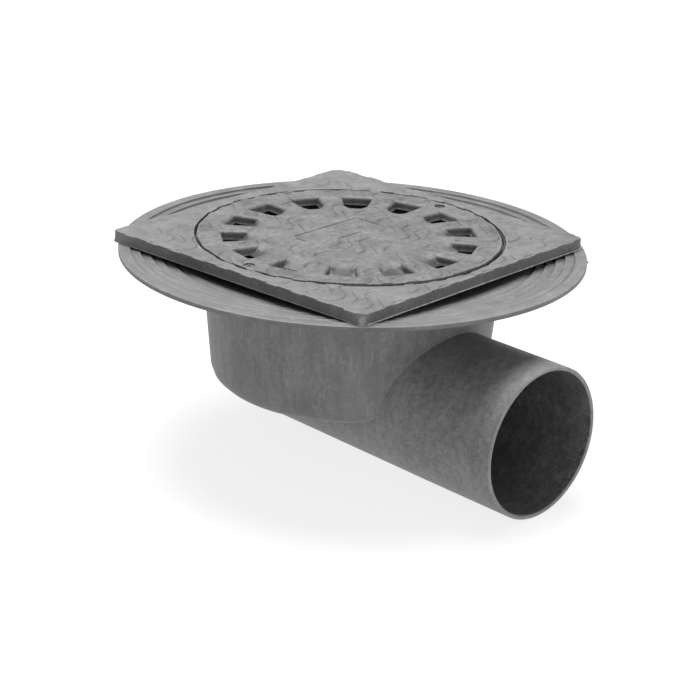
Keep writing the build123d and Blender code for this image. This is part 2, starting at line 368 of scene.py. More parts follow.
grateLook = {
    **coverLook, "deep": 0.072, "pale": 0.16,
    "tone": {**coverLook["tone"], "Cloud Amount": 1.9, "Mottle Amount": 1.7, "Speck Amount": 1.6},
    "streakDepth": 0.28, "wispDepth": 0.8,
}
bucketLook = {
    "deep": 0.092, "pale": 0.2, "scuffAndHighlight": 0.25,
    "tone": {"Cloud Scale": 24.0, "Cloud Amount": 0.9, "Mottle Scale": 220.0, "Mottle Amount": 0.8,
             "Speck Scale": 900.0, "Speck Amount": 0.9},
    "streaks": {"Stretch": (1.0, 1.0, 0.1), "Streak Scale": 150.0, "Scratch Scale": 380.0, "Scratch Width": 0.03},
    "streakDepth": 0.3, "streakTone": 0.6, "scratchDepth": 0.45,
    "wisps": {"Wisp Scale": 50.0, "Curl": 0.03, "Width": 0.025, "Patch Scale": 16.0},
    "wispDepth": 0.2, "wispTone": 0.25,
    "edges": {"Break Scale": 220.0, "Amount": 0.25}, "shadeTone": 0.3,
    "skin": {"Grain Scale": 900.0, "Wave Scale": 60.0, "Grain Share": 0.4},
    "streakHeight": 0.3, "wispHeight": 0.2, "grainHeight": 0.3,
    "bumpStrength": 0.6, "bumpDistance": 0.6,
    "roughness": (0.42, 0.6), "scratchRoughness": 0.15, "specular": 0.35,
}
pipeLook = {
    **bucketLook, "deep": 0.1, "pale": 0.235,
    "tone": {**bucketLook["tone"], "Cloud Scale": 20.0, "Cloud Amount": 1.5, "Mottle Amount": 1.4, "Speck Amount": 1.4},
    "streaks": {"Stretch": (1.0, 0.18, 0.18), "Streak Scale": 130.0, "Scratch Scale": 420.0, "Scratch Width": 0.035},
    "streakDepth": 0.25, "scratchDepth": 0.35,
    "wisps": {"Wisp Scale": 55.0, "Curl": 0.04, "Width": 0.03, "Patch Scale": 18.0}, "wispDepth": 0.35,
}
# the outlet's bore: the pipe's plastic darkened as painted shade
paintedShadeBoreLook = {**pipeLook, "deep": 0.055, "pale": 0.145}
mouthLook = {**pipeLook, "deep": 0.15, "pale": 0.27}
dishLook = {
    **bucketLook, "deep": 0.083, "pale": 0.172,
    "tone": {**bucketLook["tone"], "Cloud Amount": 1.2, "Mottle Amount": 0.6, "Speck Amount": 0.5},
    "streaks": {"Stretch": (0.08, 0.08, 0.5), "Ring Share": 1.0, "Streak Scale": 260.0, "Scratch Scale": 420.0,
                "Scratch Width": 0.04},
    "streakDepth": 0.25, "scratchDepth": 0.3,
    "edges": {"Break Scale": 220.0, "Amount": 0.15},
}
looks = {"cover": coverLook, "grate": grateLook, "bucket": bucketLook, "pipe": pipeLook, "paintedShadeBore": paintedShadeBoreLook,
         "mouth": mouthLook, "dish": dishLook}
plastics = {name: greyPlastic(name + "Plastic", look) for name, look in looks.items()}
print("materials ready")


# the tread covers the plate and the grate: raised bands that run in waves
tread = {
    "pitch": 23.7,            # across the bands, along the cover's X
    "band": 12.3,             # width of a raised band
    "wave": 47.4,             # length of one wave, along the cover's Y
    "swing": 9.6,             # how far the bands swing to each side
    "square": 1.2,            # how square the waves are
    "height": 0.6,
    "slope": 0.3,             # half the width of the step at a band's left edge
    "softSlope": 0.45,        # the same at its right edge
    "shade": 0.6,             # how dark the painted shade at the foot of the right edge is
    "shadeReach": (0.1, 0.3),   # how far the shade stays full, and how far past the step it ends
    "stepAlong": 0.9,         # spacing of the mesh points along the steps
    "pointsPast": 0.04,       # how far past a step its outer points lie
    "runPast": 1.45,          # the steps' points cover this many times the piece's reach along the bands
    "countPast": 1.5,         # and this many times across them
    "leastSpacing": 0.22,     # points nearer than this are thinned out
    "fillJitter": 0.25,       # how far the points of the flat areas stray, as a share of their spacing
}


def bandSwing(y):
    # sideways place of the bands at a height y, and how steeply it changes
    turn = 2 * np.pi * y / tread["wave"]
    k = tread["square"]
    place = -tread["swing"] * np.tanh(k * np.cos(turn)) / math.tanh(k)
    steepest = tread["swing"] * k * 2 * np.pi / tread["wave"]
    return place, steepest * np.sin(turn) / np.cosh(k * np.cos(turn)) ** 2 / math.tanh(k)


def treadAxes(x, y, phase):
    # a point's place across the wavy bands, and how much the waves stretch that distance
    place, change = bandSwing(y - phase[1])
    return x - phase[0] - place, np.sqrt(1 + change * change)


def treadHeight(x, y, phase):
    place, length = treadAxes(x, y, phase)
    across = place % tread["pitch"]
    beyond = tread["pitch"] * (across > (tread["band"] + tread["pitch"]) / 2)
    rise = smoothStep((across - beyond) / length, -tread["slope"], tread["slope"])
    fall = smoothStep((tread["band"] - across + beyond) / length, -tread["softSlope"], tread["softSlope"])
    return tread["height"] * np.minimum(rise, fall)


def treadShade(x, y, phase):
    # painted shade, strongest along the right edge of each band
    full, past = tread["shadeReach"]
    place, length = treadAxes(x, y, phase)
    across = (place - tread["band"] + tread["pitch"] / 2) % tread["pitch"] - tread["pitch"] / 2
    return tread["shade"] * (1 - smoothStep(np.abs(across) / length, full, tread["softSlope"] + past))


def treadPoints(reach, phase):
    # mesh points along both edges of every band
    run = [-tread["runPast"] * reach]
    while run[-1] < tread["runPast"] * reach:
        run.append(run[-1] + tread["stepAlong"] / math.hypot(1, float(bandSwing(run[-1])[1])))
    run = np.array(run)
    place, change = bandSwing(run)
    length = np.hypot(1, change)
    count = int(tread["countPast"] * reach / tread["pitch"]) + 1
    rows = []
    for k in range(-count, count + 1):
        for edge, slope in ((0, tread["slope"]), (tread["band"], tread["softSlope"])):
            for side in (-slope - tread["pointsPast"], 0.0, slope + tread["pointsPast"]):
                rows.append(np.c_[k * tread["pitch"] + edge + place + side / length, run - side * change / length])
    return np.vstack(rows) + phase


def fillPoints(reach, spacing, seed):
    # a loose grid that fills the flat areas
    rng = np.random.default_rng(seed)
    line = np.arange(-reach, reach, spacing)
    gx, gy = np.meshgrid(line, line)
    points = np.c_[gx.ravel(), gy.ravel()]
    return points + rng.uniform(-tread["fillJitter"], tread["fillJitter"], points.shape) * spacing


def thinned(points):
    # one point in each small square, so no sliver triangles
    keys = np.round(points / tread["leastSpacing"]).astype(int)
    _, keep = np.unique(keys, axis=0, return_index=True)
    return points[np.sort(keep)]


def topSkin(outlines, free, insideBy, heightAt):
    # triangles between closed outlines, through free points, lifted to their heights
    coords = [Vector(p[:2]) for outline in outlines for p in outline]
    edges, first = [], 0
    for outline in outlines:
        count = len(outline)
        edges += [(first + i, first + (i + 1) % count) for i in range(count)]
        first += count
    coords += [Vector(p[:2]) for p in free]
    flat, _, faces, _, _, _ = delaunay_2d_cdt(coords, edges, [], 0, pointReach, False)
    flat = np.array([tuple(p) for p in flat])
    faces = np.array([list(f) for f in faces])
    middle = flat[faces].mean(1)
    faces = faces[insideBy(*middle.T) > 0]
    a, b, c = (flat[faces[:, i]] for i in range(3))
    wrong = np.cross(b - a, c - a) < 0
    faces[wrong] = faces[wrong][:, ::-1]
    return np.c_[flat, heightAt(*flat.T)], faces.tolist()


plate = {
    "turn": 3.7, "shift": (-3.9, 0.0),
    "half": 122.18, "draft": 2.0, "cornerRadius": 6.0, "leastCorner": 1.0, "cornerSteps": 8,
    "bottom": 148.0, "top": 155.9, "opening": 112.56,
    "edgeRadius": 0.5, "openingEdge": 0.35, "openingEase": 0.4,
    "skinDepth": 1.6, "overlap": 0.4,   # how deep the new top reaches, and how far past the cut
    # the gap round the grate opens to one side, and the plate sags a little next to the grate
    "gapWider": 0.9, "gapAngle": 40.0, "gapPower": 4,
    "dip": 1.2, "dipAngle": -8.0, "dipPower": 2, "dipReach": 16.0, "dipEase": 0.2,
    "treadPhase": (93.2, -85.7),
    # where the mesh has its points
    "fillSpacing": 3.0, "fillSeed": 3, "clearOfEdge": 1.3, "ringPoints": 620, "outlineSpacing": 0.55,
    "fineInsets": (0.12, 0.35), "coarseInsets": (0.7, 1.1), "coarseSpacing": 1.1,
    # wear and painted highlights count above 0 and painted shade below, as shares of the look's own amounts
    "edgeWearAndHighlight": (0.2, 1.4), "wallWearAndPaintedLight": 0.6, "ledgeShade": 6.0, "ledgeOverlap": 0.02,
    # pale corners: a painted highlight down each corner
    "cornerHighlight": 6.0, "cornerReach": (4.5, 2.2),
    "flash": ((-0.3, 0.8), (0.4, 0.48), (0.4, 0.05), (-0.3, 0.02)),   # proud of the side, above the bottom
    "flashSpacing": 1.6, "flashHighlight": 16.0, "flashReach": (5.0, 1.0),   # a painted highlight on the side towards the outlet only
}


def squareOutline(half, radius, spacing):
    # points round a square with rounded corners, counterclockwise
    flatRun = np.arange(-(half - radius), half - radius, spacing)
    side = np.c_[np.full(len(flatRun), half), flatRun]
    arc = np.radians(np.linspace(0, 90, plate["cornerSteps"] + 1))[:-1]
    bend = np.c_[half - radius + radius * np.cos(arc), half - radius + radius * np.sin(arc)]
    both = np.vstack([side, bend])
    return np.vstack([turnedBy(both, 90 * corner) for corner in range(4)])


def squareInside(x, y, half, radius):
    # distance inside that outline
    qx, qy = np.abs(x) - (half - radius), np.abs(y) - (half - radius)
    outside = np.hypot(np.maximum(qx, 0), np.maximum(qy, 0)) + np.minimum(np.maximum(qx, qy), 0)
    return radius - outside


def towards(x, y, degrees, power):
    # 1 in one direction from the middle, falling to 0 sideways
    return np.clip(np.cos(np.arctan2(y, x) - math.radians(degrees)), 0, 1) ** power


def buildPlate():
    p = plate
    cut = p["top"] - p["skinDepth"]
    foot = cut - p["overlap"]
    half = p["half"] - math.tan(math.radians(p["draft"])) * (cut - p["bottom"])
    corner = p["cornerRadius"] - (p["half"] - half)

    def fromOpening(x, y):
        wider = p["gapWider"] * towards(x, y, p["gapAngle"], p["gapPower"])
        return np.hypot(x, y) - p["opening"] - p["openingEase"] - wider

    def openingRing(inset):
        flat = ring(p["opening"], 0, p["ringPoints"])[:, :2]
        return flat * ((p["opening"] + inset - fromOpening(*flat.T)) / p["opening"])[:, None]

    def insideBy(x, y):
        return np.minimum(squareInside(x, y, half, corner), fromOpening(x, y))

    def heightAt(x, y):
        inside, away = squareInside(x, y, half, corner), fromOpening(x, y)
        edge = np.maximum(roundDrop(inside, p["edgeRadius"]), roundDrop(away, p["openingEdge"]))
        relief = treadHeight(x, y, p["treadPhase"])
        near = 1 - smoothStep(away, 0, np.minimum(p["dipReach"], p["dipEase"] + away + inside))
        return p["top"] - edge + relief - p["dip"] * near * towards(x, y, p["dipAngle"], p["dipPower"])

    outer, inner = squareOutline(half, corner, p["outlineSpacing"]), openingRing(0)
    points = thinned(np.vstack([treadPoints(half, p["treadPhase"]),
                                fillPoints(half, p["fillSpacing"], p["fillSeed"])]))
    free = [points[insideBy(*points.T) > p["clearOfEdge"]]]
    for insets, spacing in ((p["fineInsets"], p["outlineSpacing"]), (p["coarseInsets"], p["coarseSpacing"])):
        for inset in insets:
            free.append(squareOutline(half - inset, max(corner - inset, p["leastCorner"]), spacing))
            free.append(openingRing(inset))
    verts, faces = topSkin([outer, inner], np.vstack(free), insideBy, heightAt)
    x, y = verts[:, :2].T
    # pale rubbed edges, less painted shade at the feet of the bands' right edges
    rim = 1 - smoothStep(insideBy(x, y), *p["edgeWearAndHighlight"]) - treadShade(x, y, p["treadPhase"])
    parts = [(verts, faces, rim)]
    for outline, facing in ((outer, -1), (inner, 1)):
        parts.append((*strip(np.c_[outline, heightAt(*outline.T)], atHeight(outline, foot), facing), p["wallWearAndPaintedLight"]))
    # the ledge in the gap round the grate is painted nearly black as shade
    ledge = strip(atHeight(inner, foot), ring(p["opening"] - p["ledgeOverlap"], foot, p["ringPoints"]), 1)
    parts.append((*ledge, -p["ledgeShade"]))

    # flash along the lower edge, painted pale as a highlight on its side towards the outlet
    rings = [atHeight(squareOutline(p["half"] + proud, p["cornerRadius"], p["flashSpacing"]), p["bottom"] + height)
             for proud, height in p["flash"]]
    for upper, lower in zip(rings, rings[1:]):
        verts, faces = strip(upper, lower, -1)
        pale = smoothStep(verts[:, 0], *(p["half"] - reach for reach in p["flashReach"]))
        parts.append((verts, faces, p["flashHighlight"] * pale))

    parts = [(turnedBy(v, p["turn"], p["shift"]), f, r) for v, f, r in parts]
    lowerVerts, lowerFaces = solidAsArrays("cover_frame", cut)
    # a painted highlight down the plate's corners
    own = np.abs(turnedBy(lowerVerts - (*p["shift"], 0), -p["turn"]))[:, :2].min(1)
    paintedCornerHighlight = p["cornerHighlight"] * smoothStep(own, *(p["half"] - reach for reach in p["cornerReach"]))
    verts, faces, rim = joined((lowerVerts, lowerFaces, paintedCornerHighlight), *parts)
    newPiece("coverPlate", verts, faces, rim, [plastics["cover"]], "cover_frame")


buildPlate()


lid = {
    "turn": 3.7, "shift": (-3.9, 0.0),
    "radius": 111.26, "ease": 0.35, "top": 155.9, "skinDepth": 1.2, "overlap": 0.4, "ledgeOverlap": 0.02,
    "cutLower": 0.01,
    "slots": 14, "slotInner": 61.9, "slotOuter": 93.9, "innerWidth": 16.0, "outerWidth": 25.0,
    "slotCorner": 2.2, "cornerSteps": 6, "slotEdge": 2.4, "slotInset": 1.0,
    "holeRadius": 4.0, "holeAt": 103.26, "holeEdge": 0.6, "rimEdge": 0.35,
    "hookLedge": 1.9, "hookDepth": 1.4, "hookFall": 0.8, "hookOverlap": 0.05,   # a ledge in the round holes
    "boxCentre": (-10.8, -1.5), "boxSize": (26.5, 71.0), "boxLine": 1.5, "boxHeight": 0.6, "boxSoft": 0.15,
    "treadPhase": (37.0, -3.0), "treadFade": (0.4, 2.6),
    # each slot's well: a scoop that leads down from the disc, with soft sides at first, to a lip
    "depth": 6.0, "rampRun": 18.0, "rampBend": 1.4, "rampOver": 0.4,
    "sideSoft": 8.0, "leastSoft": 0.02, "sideShare": (-0.35, 0.8), "softUntil": 16.0, "softFade": 5.0, "bluntFade": 4.0,
    "lip": 1.9, "lipHeight": 0.5, "wellClear": (0.25, 0.05),
    # where the mesh has its points
    "fillSpacing": 4.0, "fillSeed": 5, "clearOfEdge": 1.9,
    "ringPoints": 600, "holePoints": 40, "edgeInsets": (0.08, 0.2, 0.4, 0.7, 1.1, 1.5),
    "loopSpacing": 1.3, "loopClear": 0.3, "loopCentre": 7.0, "pointSpacing": 1.2, "boxMargin": 0.2,
    "scoopGrid": 1.0, "scoopHalf": 10.5, "scoopBefore": 3.0, "scoopShort": 0.5, "scoopClear": 2.2,
    "slotRings": (-1.9, -1.78, -1.6, -1.4, -1.2, -1.08, -1.0, -0.9, -0.7, -0.4, 0.0, 0.4, 0.8, 1.2, 1.6),
    # wear, painted light and painted shade, as on the plate
    "edgeWearAndHighlight": (0.3, 1.8), "wallWearAndPaintedLight": 3.0, "lipHighlight": 6.0, "bandFade": (1.0, 4.0),
    "wellShade": 1.2, "wellFade": (1.0, 4.2), "wellEdge": 1.5,
}


def throughStart():
    # where the ramp ends and the hole through the lid starts, along the slot's axis
    return lid["slotInner"] + lid["rampRun"] - lid["rampOver"]


def slotOutlinePoints(grow, spacing):
    # the rounded trapezoid of one slot on the +X side, grown by a distance
    near, far, radius = lid["innerWidth"] / 2, lid["outerWidth"] / 2, lid["slotCorner"]
    low, high = lid["slotInner"], lid["slotOuter"]
    corners = np.array([(low, -near), (high, -far), (high, far), (low, near)])
    points = []
    for i in range(4):
        here, before, after = corners[i], corners[i - 1], corners[(i + 1) % 4]
        back, onward = before - here, after - here
        back, onward = back / np.linalg.norm(back), onward / np.linalg.norm(onward)
        halfAngle = math.acos(float(back @ onward)) / 2
        centre = here + (back + onward) / np.linalg.norm(back + onward) * radius / math.sin(halfAngle)
        first, last = (math.atan2(*(here + side * radius / math.tan(halfAngle) - centre)[::-1])
                       for side in (back, onward))
        sweep = (last - first + math.pi) % (2 * math.pi) - math.pi
        angles = first + sweep * np.linspace(0, 1, lid["cornerSteps"] + 1)
        points.append(centre + (radius + grow) * np.c_[np.cos(angles), np.sin(angles)])
    dense = []
    loop = np.vstack(points)
    for a, b in zip(loop, np.roll(loop, -1, axis=0)):
        steps = max(1, int(np.linalg.norm(b - a) / spacing))
        dense.append(a + (b - a) * np.linspace(0, 1, steps, endpoint=False)[:, None])
    return np.vstack(dense)


def slotAxes(x, y):
    # a point's place along and across the nearest slot
    pitch = 2 * math.pi / lid["slots"]
    angle, radius = np.arctan2(y, x), np.hypot(x, y)
    local = (angle + pitch / 2) % pitch - pitch / 2
    return radius * np.cos(local), radius * np.sin(local)


def outsideSlot(x, y):
    # distance from the nearest slot's outline, positive outside it
    px, py = slotAxes(x, y)
    r, near, low, high = lid["slotCorner"], lid["innerWidth"] / 2, lid["slotInner"], lid["slotOuter"]
    lean = math.atan2(lid["outerWidth"] / 2 - near, high - low)
    toSide = (np.abs(py) - near) * math.cos(lean) - (px - low) * math.sin(lean)
    planes = np.stack([low - px, px - high, toSide]) + r
    endwise = np.maximum(planes[0], planes[1])
    corner = np.hypot(np.maximum(endwise, 0), np.maximum(planes[2], 0))
    return corner + np.minimum(np.maximum(endwise, planes[2]), 0) - r


def wallDrop(away):
    # how deep the slot's wall lies at a distance outside its outline: a round edge, then a hollow wall that
    # comes forward at its foot
    p = lid
    past = away + p["slotInset"]
    inward = np.clip(-past / (p["lip"] - p["slotInset"]), 0, 1)
    steep = p["slotEdge"] + (p["depth"] - p["lipHeight"] - p["slotEdge"]) * np.sqrt(1 - (1 - inward) ** 2)
    return np.where(past > 0, roundDrop(past, p["slotEdge"]), steep)


def slotDrop(x, y):
    # the well of the nearest slot: its walls, and the soft scoop that leads down from the disc
    p = lid
    away = outsideSlot(x, y)
    t = slotAxes(x, y)[0] - p["slotInner"]
    ramp = p["depth"] * (np.clip(t, 0, None) / p["rampRun"]) ** p["rampBend"]
    spread = p["sideSoft"] * (1 - smoothStep(t, p["softUntil"] - p["softFade"], p["softUntil"])) + p["leastSoft"]
    side = smoothStep(-away, *(share * spread for share in p["sideShare"]))
    blunt = smoothStep(t, p["softUntil"] - p["bluntFade"], p["softUntil"])
    return np.minimum(wallDrop(away), ramp * (side + (1 - side) * blunt))


def throughOutline(spacing):
    # the hole at the foot of the well
    start, inset = throughStart(), lid["lip"]
    lean = (lid["outerWidth"] - lid["innerWidth"]) / 2 / (lid["slotOuter"] - lid["slotInner"])
    near = lid["innerWidth"] / 2 + lean * (start - lid["slotInner"]) - inset * math.hypot(1, lean)
    loop = slotOutlinePoints(-inset, spacing)
    loop = loop[loop[:, 0] > start + lid["loopClear"]]
    loop = loop[np.argsort(np.arctan2(loop[:, 1], loop[:, 0] - (start + lid["loopCentre"])))]
    across = np.linspace(near, -near, int(2 * near / spacing))[:, None]
    return np.vstack([loop, np.hstack([np.full_like(across, start), across])])


def atEachSlot(points):
    return [turnedBy(points, k * 360 / lid["slots"]) for k in range(lid["slots"])]


def holeRings(radius, height=0.0):
    return [ring(radius, height, lid["holePoints"], (0, side * lid["holeAt"])) for side in (-1, 1)]


def outsideHoles(x, y):
    return np.minimum(np.hypot(x, y - lid["holeAt"]), np.hypot(x, y + lid["holeAt"])) - lid["holeRadius"]


def insideBox(x, y):
    # distance inside the bare border on the disc
    (cx, cy), (w, h) = lid["boxCentre"], lid["boxSize"]
    return np.minimum(w / 2 - np.abs(x - cx), h / 2 - np.abs(y - cy))


def boxPoints():
    # mesh points along both edges of the border
    (cx, cy), (width, length) = lid["boxCentre"], lid["boxSize"]
    margin, line = lid["boxMargin"], lid["boxLine"]
    rows = []
    for inset in (-margin, margin, line - margin, line + margin):
        w, h = width / 2 - inset, length / 2 - inset
        alongX, alongY = np.arange(-w, w, lid["pointSpacing"]), np.arange(-h, h, lid["pointSpacing"])
        for side in (-1, 1):
            rows.append(np.c_[cx + alongX, np.full(len(alongX), cy + side * h)])
            rows.append(np.c_[np.full(len(alongY), cx + side * w), cy + alongY])
    return np.vstack(rows)


def scoopPoints():
    # a small grid in the scoop of one slot
    along = np.arange(lid["slotInner"] - lid["scoopBefore"], throughStart() - lid["scoopShort"], lid["scoopGrid"])
    across = np.arange(-lid["scoopHalf"], lid["scoopHalf"] + lid["scoopGrid"] / 2, lid["scoopGrid"])
    points = np.array([(a, b) for a in along for b in across])
    return points[outsideSlot(*points.T) < -lid["scoopClear"]]


def buildGrate():
    p = lid
    cut = p["top"] - p["skinDepth"]
    foot = cut - p["overlap"]
    radius = p["radius"] - p["ease"]

    def insideEdges(x, y):
        return np.minimum(radius - np.hypot(x, y), outsideHoles(x, y))

    def insideBy(x, y):
        opening = np.maximum(outsideSlot(x, y) + p["lip"], throughStart() - slotAxes(x, y)[0])
        return np.minimum(insideEdges(x, y), opening)

    def heightAt(x, y):
        edge = roundDrop(radius - np.hypot(x, y), p["rimEdge"])
        holes = roundDrop(outsideHoles(x, y), p["holeEdge"])
        drop = np.maximum(np.maximum(edge, slotDrop(x, y)), holes)
        box, line, soft = insideBox(x, y), p["boxLine"], p["boxSoft"]
        relief = treadHeight(x, y, p["treadPhase"])
        relief = relief * smoothStep(outsideSlot(x, y), *p["treadFade"])
        relief = relief * smoothStep(-box, -p["boxMargin"], p["boxMargin"])
        border = smoothStep(box, -soft, soft) * (1 - smoothStep(box, line - soft, line + soft))
        return p["top"] - drop + np.maximum(relief, p["boxHeight"] * border)

    outer = ring(radius, 0, p["ringPoints"])[:, :2]
    slotLoops = atEachSlot(throughOutline(p["loopSpacing"]))
    holeLoops = [loop[:, :2] for loop in holeRings(p["holeRadius"])]
    points = thinned(np.vstack([treadPoints(p["radius"], p["treadPhase"]),
                                fillPoints(p["radius"], p["fillSpacing"], p["fillSeed"]), boxPoints()]))
    clear = np.minimum(insideEdges(*points.T), outsideSlot(*points.T)) > p["clearOfEdge"]
    free = [points[clear], *atEachSlot(scoopPoints())]
    for inset in p["edgeInsets"]:
        free.append(ring(radius - inset, 0, p["ringPoints"])[:, :2])
        free += [loop[:, :2] for loop in holeRings(p["holeRadius"] + inset)]
    for grow in p["slotRings"]:
        grown = slotOutlinePoints(grow, p["pointSpacing"])
        if grow <= -p["lip"]:   # the hole's own outline stands there
            grown = grown[grown[:, 0] < throughStart() - p["loopClear"]]
        free += atEachSlot(grown)
    verts, faces = topSkin([outer, *slotLoops, *holeLoops], np.vstack(free), insideBy, heightAt)

    x, y = verts[:, :2].T
    away = outsideSlot(x, y)
    # painted shade at the bands' right edges and down in the wells, where the slots' depth lies in shade
    paintedBandShade = treadShade(x, y, p["treadPhase"]) * smoothStep(away, *p["bandFade"]) * (insideBox(x, y) < 0)
    paintedWellShade = p["wellShade"] * smoothStep(slotDrop(x, y), *p["wellFade"])
    paintedWellShade = paintedWellShade * smoothStep(-away, p["lip"], p["lip"] + p["wellEdge"])
    rim = 1 - smoothStep(insideEdges(x, y), *p["edgeWearAndHighlight"]) - paintedBandShade - paintedWellShade
    parts = [(verts, faces, rim)]
    ledgeRadii = (p["holeRadius"] + p["hookOverlap"], p["hookLedge"])
    for wide, narrow in zip(*(holeRings(r, p["top"] - p["hookDepth"]) for r in ledgeRadii)):
        parts.append((*strip(wide, narrow, 1), 0.0))
        parts.append((*strip(narrow, narrow - (0, 0, p["hookFall"]), 1), 0.0))
    # the outer wall and the holes' walls are painted pale to lighten them in the gap's shade, and the slots' lips get a
    # painted highlight
    walls = [(outer, -1, foot, p["wallWearAndPaintedLight"])] + [(loop, 1, foot, p["wallWearAndPaintedLight"]) for loop in holeLoops]
    walls += [(loop, 1, p["top"] - p["depth"], p["lipHighlight"]) for loop in slotLoops]
    for loop, facing, depth, wear in walls:
        parts.append((*strip(np.c_[loop, heightAt(*loop.T)], atHeight(loop, depth), facing), wear))
    ledge = [ring(r, foot, p["ringPoints"]) for r in (radius, p["radius"] + p["ledgeOverlap"])]
    parts.append((*strip(*ledge, -1), 0.0))
    parts = [(turnedBy(v, p["turn"], p["shift"]), f, r) for v, f, r in parts]

    # the CAD's own faces inside the wells make way for the scooped ones
    lowerVerts, lowerFaces = solidAsArrays("grate", cut - p["cutLower"])
    middle = np.array([lowerVerts[f].mean(0) for f in lowerFaces])
    own = turnedBy(middle - (*p["shift"], 0), -p["turn"])
    beside, above = p["wellClear"]
    inWell = (outsideSlot(own[:, 0], own[:, 1]) < beside) & (own[:, 2] > p["top"] - p["depth"] + above)
    kept = [f for f, gone in zip(lowerFaces, inWell) if not gone]
    verts, faces, rim = joined((lowerVerts, kept, 0.0), *parts)
    newPiece("slottedGrate", verts, faces, rim, [plastics["grate"]], "grate")


buildGrate()


dish = {
    "rim": 170.0, "rimBottom": 145.0, "rimTop": 148.0, "rimEdge": 0.6, "rimFlat": (167.0, 164.0), "land": 161.5,
    "terraces": 5, "pitch": 7.0, "fall": 0.95, "riser": 1.05, "riserWidth": 0.55, "groove": 0.42,
    "stepEdge": ((0.3, 0.0), (0.08, 0.06), (-0.1, 0.25)),     # a terrace's rounded edge: outward, down
    "riserFoot": ((-0.1, 0.2), (0.2, 0.0)),                   # inward from the riser, above the groove
    "stepFloor": ((1.8, 0.9), (3.4, 0.5), (5.2, 0.1)),        # its hollow floor: inward, share of the groove
    "coneTop": 126.5, "coneTopHeight": 143.25, "mouth": 107.0, "mouthHeight": 140.0,
    "cone": ((120.0, 142.25), (114.0, 141.2), (109.5, 140.45)), "coneEdge": (1.0, 0.2),
    "mouthRound": ((0.4, 0.02), (0.0, -0.5)),
    "around": 420, "margin": 1.0, "level": 0.02, "cutMargin": (0.3, 0.5),
    # how uneven the moulding is
    "waverSeed": 11, "waverTurns": (3, 5, 9, 14, 23, 37), "waverSize": (0.3, 1.0), "waverSkew": 0.4,
    "waverHeight": 0.05, "waverWidth": 0.10, "looseInner": (1.0, 6.0), "looseOuter": (0.5, 2.0),
    # painted shade at the risers' feet and a painted highlight on the terraces' edges
    "footShade": 0.4, "footAt": 1.3, "footReach": 0.9, "edgeWearAndHighlight": 0.7, "edgeReach": 0.5,
    "nub": (170.1, 39.4, 147.3), "nubSize": (1.6, 3.0, 1.2), "nubTaper": 0.6,   # at a radius, an angle and a height
    "dishFrom": 110.5, "coneFoot": 139.0, "pipeFrom": 60.0, "pipeUnder": 46.0,   # where the finish changes
    "boreFrom": 112.0, "mouthFrom": 188.9, "boreRadius": 53.4, "pipeAxis": 55.0, "pipeRadius": 55.6,
}


def dishProfile():
    # from the flange's lower outer edge over the rim and down the terraces to the bucket's mouth
    d = dish
    line = [(d["rim"], d["rimBottom"]), (d["rim"], d["rimTop"] - d["rimEdge"])]
    for a in np.radians((30, 60, 90)):
        line.append((d["rim"] - d["rimEdge"] * (1 - math.cos(a)), d["rimTop"] - d["rimEdge"] * (1 - math.sin(a))))
    line += [(r, d["rimTop"]) for r in d["rimFlat"]]
    for step in range(d["terraces"]):
        edge, height = d["land"] - step * d["pitch"], d["rimTop"] - step * d["fall"]
        low, deepest = height - d["riser"], height - d["riser"] - d["groove"]
        line += [(edge + out, height - down) for out, down in d["stepEdge"]]
        line += [(edge - d["riserWidth"] - inward, deepest + up) for inward, up in d["riserFoot"]]
        line += [(edge - inward, low - d["groove"] * share) for inward, share in d["stepFloor"]]
    inward, down = d["coneEdge"]
    line += [(d["coneTop"], d["coneTopHeight"]), (d["coneTop"] - inward, d["coneTopHeight"] - down), *d["cone"]]
    return line + [(d["mouth"] + out, d["mouthHeight"] + up) for out, up in d["mouthRound"]]


def dishRimAt(radius, height):
    # painted shade at the terraces' feet and painted highlights on their edges, and a pale rubbed outer edge
    d = dish
    edges = [d["land"] - k * d["pitch"] for k in range(d["terraces"])]
    toFoot = min(abs(radius - (edge - d["footAt"])) for edge in edges)
    if d["coneTop"] < radius < d["land"] and toFoot < d["footReach"]:
        return -d["footShade"]
    if radius < d["land"] + d["margin"]:
        return max(0.0, 1 - min(abs(radius - edge) for edge in edges) / d["edgeReach"]) * d["edgeWearAndHighlight"]
    return 1.0 if radius > d["rim"] - d["margin"] and height > d["rimTop"] - d["margin"] else 0.0


def buildDish():
    # the turned dish, a little uneven as a moulding is
    d = dish
    profile = dishProfile()
    verts, faces = lathe(profile, d["around"])
    angle, reach = np.arctan2(verts[:, 1], verts[:, 0]), np.hypot(verts[:, 0], verts[:, 1])
    rng = np.random.default_rng(d["waverSeed"])
    waver = 0
    for n in d["waverTurns"]:
        size, start = rng.uniform(*d["waverSize"]), rng.uniform(0, 6.28)
        skew = rng.uniform(-d["waverSkew"], d["waverSkew"])
        waver = waver + size / n * np.sin(n * angle + start + reach * skew)
    loose = smoothStep(reach, *(d["mouth"] + past for past in d["looseInner"]))
    loose = loose * (1 - smoothStep(reach, *(d["land"] + past for past in d["looseOuter"])))
    verts[:, 2] += d["waverHeight"] * waver * loose
    verts[:, :2] *= (1 + d["waverWidth"] * waver * loose / np.maximum(reach, 1))[:, None]
    return verts, faces, np.repeat([dishRimAt(r, z) for r, z in profile], d["around"])


def buildNub():
    # a stub of flash on the flange's rim
    d = dish
    corners = np.array([(x, y, z) for x in (-0.5, 0.5) for y in (-0.5, 0.5) for z in (-0.5, 0.5)]) * d["nubSize"]
    corners[:, 1:] *= np.where(corners[:, :1] > 0, d["nubTaper"], 1.0)
    faces = [[0, 1, 3, 2], [4, 6, 7, 5], [0, 4, 5, 1], [2, 3, 7, 6], [0, 2, 6, 4], [1, 5, 7, 3]]
    return turnedBy(corners + (d["nub"][0], 0, d["nub"][2]), d["nub"][1]), faces, 0.0


